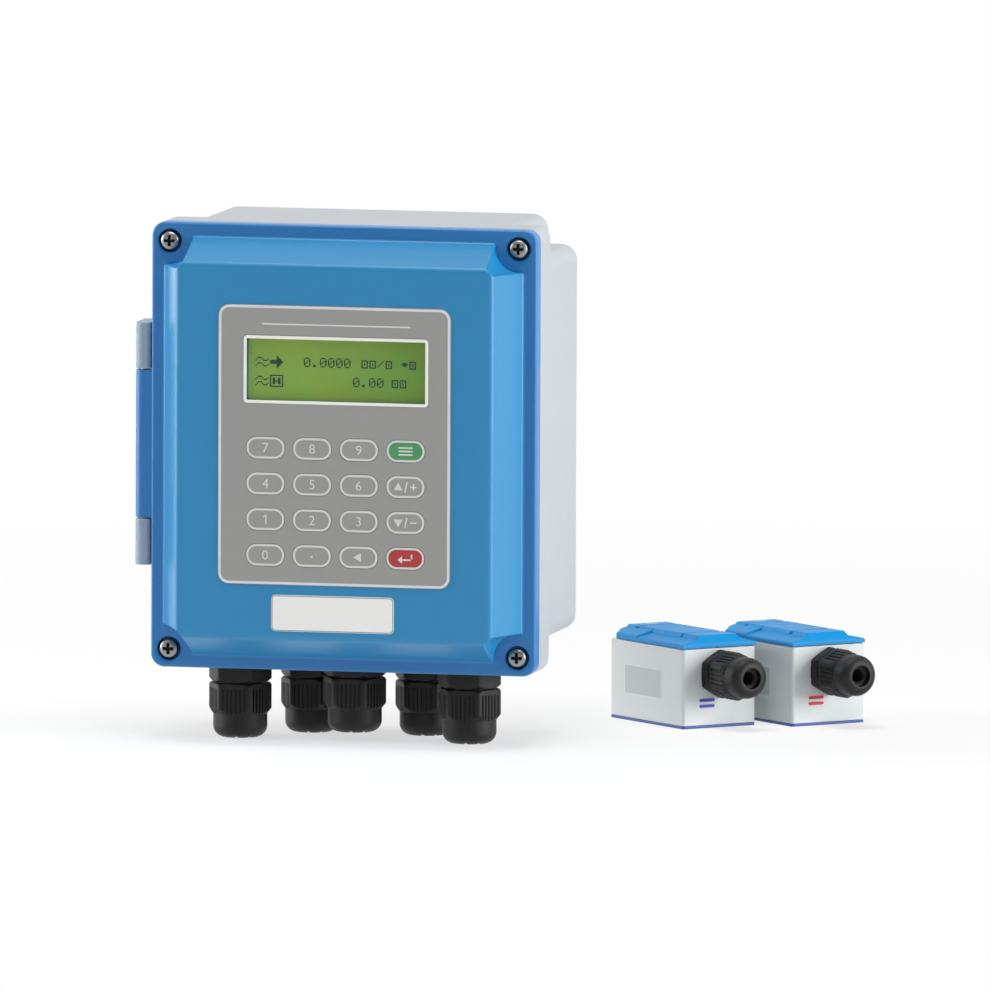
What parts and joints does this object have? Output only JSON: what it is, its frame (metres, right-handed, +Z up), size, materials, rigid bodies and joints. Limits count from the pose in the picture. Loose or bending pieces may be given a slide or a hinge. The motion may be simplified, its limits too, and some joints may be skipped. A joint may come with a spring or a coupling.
{
  "type": "clamp-on ultrasonic flow meter",
  "caption": "Wall-mounted converter box with a hinged keypad cover and cable glands below, and a pair of small clamp-on transducers.",
  "frame": {"origin": "centre of the four wall bolts, on the rear face of the housing", "axes": "+X to the right seen from the front, +Y into the wall, +Z up"},
  "size_m": [0.3063, 0.2122, 0.2283],
  "materials": {
    "housing_grey": "satin light grey",
    "cover_blue": "satin blue",
    "gasket_rubber": "matt black",
    "pin_steel": "bright steel",
    "screw_steel": "plated steel",
    "insert_brass": "turned brass",
    "board_green": "solder resist",
    "terminal_green": "moulded green",
    "transformer_steel": "varnished plates",
    "component_black": "moulded black",
    "gland_black": "black nylon",
    "seal_rubber": "matt black",
    "overlay_grey": "printed film",
    "key_grey": "printed film",
    "key_green": "printed film",
    "key_red": "printed film",
    "dome_steel": "sprung steel",
    "window_clear": "clear",
    "lcd_green": "lit liquid crystal",
    "bezel_steel": "blacked steel",
    "label_white": "printed film",
    "sensor_grey": "satin light grey",
    "sensor_blue": "satin bright blue",
    "sole_blue": "dark blue resin",
    "wedge_resin": "cast resin"
  },
  "bodies": {
    "base": {"base_housing": "housing_grey", "cover_gasket": "gasket_rubber", "hinge_pin": "pin_steel", "screw_inserts": "insert_brass", "main_board": "board_green", "board_screws": "screw_steel", "terminal_blocks": "terminal_green", "transformer": "transformer_steel", "board_components": "component_black", "gland_bodies": "gland_black", "gland_locknuts": "gland_black", "gland_seals": "seal_rubber"},
    "cover": {"front_cover": "cover_blue", "keypad_overlay": "overlay_grey", "keypad_circuit": "board_green", "key_domes": "dome_steel", "display_window": "window_clear", "lcd_glass": "lcd_green", "lcd_bezel": "bezel_steel", "display_board": "board_green", "display_screws": "screw_steel", "cover_label": "label_white"},
    "cover_screw_1": {"cover_screw_1": "screw_steel"},
    "cover_screw_2": {"cover_screw_2": "screw_steel"},
    "cover_screw_3": {"cover_screw_3": "screw_steel"},
    "cover_screw_4": {"cover_screw_4": "screw_steel"},
    "key_7": {"key_7": "key_grey"},
    "key_8": {"key_8": "key_grey"},
    "key_9": {"key_9": "key_grey"},
    "key_menu": {"key_menu": "key_green"},
    "key_4": {"key_4": "key_grey"},
    "key_5": {"key_5": "key_grey"},
    "key_6": {"key_6": "key_grey"},
    "key_up": {"key_up": "key_grey"},
    "key_1": {"key_1": "key_grey"},
    "key_2": {"key_2": "key_grey"},
    "key_3": {"key_3": "key_grey"},
    "key_down": {"key_down": "key_grey"},
    "key_0": {"key_0": "key_grey"},
    "key_point": {"key_point": "key_grey"},
    "key_left": {"key_left": "key_grey"},
    "key_enter": {"key_enter": "key_red"},
    "gland_nut_1": {"gland_nut_1": "gland_black"},
    "gland_nut_2": {"gland_nut_2": "gland_black"},
    "gland_nut_3": {"gland_nut_3": "gland_black"},
    "gland_nut_4": {"gland_nut_4": "gland_black"},
    "gland_nut_5": {"gland_nut_5": "gland_black"},
    "sensor_1": {"sensor_1_case": "sensor_grey", "sensor_1_cap": "sensor_blue", "sensor_1_sole": "sole_blue", "sensor_1_core": "wedge_resin", "sensor_1_gland": "gland_black"},
    "sensor_1_nut": {"sensor_1_nut": "gland_black"},
    "sensor_2": {"sensor_2_case": "sensor_grey", "sensor_2_cap": "sensor_blue", "sensor_2_sole": "sole_blue", "sensor_2_core": "wedge_resin", "sensor_2_gland": "gland_black"},
    "sensor_2_nut": {"sensor_2_nut": "gland_black"}
  },
  "joints": [
    {"name": "cover_hinge", "type": "hinge", "parent": "base", "child": "cover", "pos_m": [-0.0907, -0.078, 0], "axis": [0, 0, -1], "range_deg": [0, 130]},
    {"name": "cover_screw_1_drive", "type": "slide", "parent": "cover", "child": "cover_screw_1", "axis": [0, 1, 0], "range_m": [0, 0.0046]},
    {"name": "cover_screw_2_drive", "type": "slide", "parent": "cover", "child": "cover_screw_2", "axis": [0, 1, 0], "range_m": [0, 0.0046]},
    {"name": "cover_screw_3_drive", "type": "slide", "parent": "cover", "child": "cover_screw_3", "axis": [0, 1, 0], "range_m": [0, 0.0046]},
    {"name": "cover_screw_4_drive", "type": "slide", "parent": "cover", "child": "cover_screw_4", "axis": [0, 1, 0], "range_m": [0, 0.0046]},
    {"name": "key_7_press", "type": "slide", "parent": "cover", "child": "key_7", "axis": [0, 1, 0], "range_m": [0, 0.0004], "stiffness_N_per_m": 1500},
    {"name": "key_8_press", "type": "slide", "parent": "cover", "child": "key_8", "axis": [0, 1, 0], "range_m": [0, 0.0004], "stiffness_N_per_m": 1500},
    {"name": "key_9_press", "type": "slide", "parent": "cover", "child": "key_9", "axis": [0, 1, 0], "range_m": [0, 0.0004], "stiffness_N_per_m": 1500},
    {"name": "key_menu_press", "type": "slide", "parent": "cover", "child": "key_menu", "axis": [0, 1, 0], "range_m": [0, 0.0004], "stiffness_N_per_m": 1500},
    {"name": "key_4_press", "type": "slide", "parent": "cover", "child": "key_4", "axis": [0, 1, 0], "range_m": [0, 0.0004], "stiffness_N_per_m": 1500},
    {"name": "key_5_press", "type": "slide", "parent": "cover", "child": "key_5", "axis": [0, 1, 0], "range_m": [0, 0.0004], "stiffness_N_per_m": 1500},
    {"name": "key_6_press", "type": "slide", "parent": "cover", "child": "key_6", "axis": [0, 1, 0], "range_m": [0, 0.0004], "stiffness_N_per_m": 1500},
    {"name": "key_up_press", "type": "slide", "parent": "cover", "child": "key_up", "axis": [0, 1, 0], "range_m": [0, 0.0004], "stiffness_N_per_m": 1500},
    {"name": "key_1_press", "type": "slide", "parent": "cover", "child": "key_1", "axis": [0, 1, 0], "range_m": [0, 0.0004], "stiffness_N_per_m": 1500},
    {"name": "key_2_press", "type": "slide", "parent": "cover", "child": "key_2", "axis": [0, 1, 0], "range_m": [0, 0.0004], "stiffness_N_per_m": 1500},
    {"name": "key_3_press", "type": "slide", "parent": "cover", "child": "key_3", "axis": [0, 1, 0], "range_m": [0, 0.0004], "stiffness_N_per_m": 1500},
    {"name": "key_down_press", "type": "slide", "parent": "cover", "child": "key_down", "axis": [0, 1, 0], "range_m": [0, 0.0004], "stiffness_N_per_m": 1500},
    {"name": "key_0_press", "type": "slide", "parent": "cover", "child": "key_0", "axis": [0, 1, 0], "range_m": [0, 0.0004], "stiffness_N_per_m": 1500},
    {"name": "key_point_press", "type": "slide", "parent": "cover", "child": "key_point", "axis": [0, 1, 0], "range_m": [0, 0.0004], "stiffness_N_per_m": 1500},
    {"name": "key_left_press", "type": "slide", "parent": "cover", "child": "key_left", "axis": [0, 1, 0], "range_m": [0, 0.0004], "stiffness_N_per_m": 1500},
    {"name": "key_enter_press", "type": "slide", "parent": "cover", "child": "key_enter", "axis": [0, 1, 0], "range_m": [0, 0.0004], "stiffness_N_per_m": 1500},
    {"name": "gland_nut_1_turn", "type": "hinge", "parent": "base", "child": "gland_nut_1", "pos_m": [-0.0516, -0.0585, -0.118], "axis": [0, 0, -1], "range_deg": [-180, 180]},
    {"name": "gland_nut_2_turn", "type": "hinge", "parent": "base", "child": "gland_nut_2", "pos_m": [0, -0.0585, -0.118], "axis": [0, 0, -1], "range_deg": [-180, 180]},
    {"name": "gland_nut_3_turn", "type": "hinge", "parent": "base", "child": "gland_nut_3", "pos_m": [0.0516, -0.0585, -0.118], "axis": [0, 0, -1], "range_deg": [-180, 180]},
    {"name": "gland_nut_4_turn", "type": "hinge", "parent": "base", "child": "gland_nut_4", "pos_m": [-0.0258, -0.03, -0.118], "axis": [0, 0, -1], "range_deg": [-180, 180]},
    {"name": "gland_nut_5_turn", "type": "hinge", "parent": "base", "child": "gland_nut_5", "pos_m": [0.0258, -0.03, -0.118], "axis": [0, 0, -1], "range_deg": [-180, 180]},
    {"name": "sensor_1_lift", "type": "slide", "parent": "base", "child": "sensor_1", "axis": [0, 0, 1], "range_m": [0, 0.1]},
    {"name": "sensor_1_nut_turn", "type": "hinge", "parent": "sensor_1", "child": "sensor_1_nut", "pos_m": [0.15482, 0.02018, -0.1065], "axis": [0.7071, -0.7071, 0], "range_deg": [-180, 180]},
    {"name": "sensor_2_lift", "type": "slide", "parent": "base", "child": "sensor_2", "axis": [0, 0, 1], "range_m": [0, 0.1]},
    {"name": "sensor_2_nut_turn", "type": "hinge", "parent": "sensor_2", "child": "sensor_2_nut", "pos_m": [0.19894, 0.04337, -0.1065], "axis": [0.7071, -0.7071, 0], "range_deg": [-180, 180]}
  ]
}
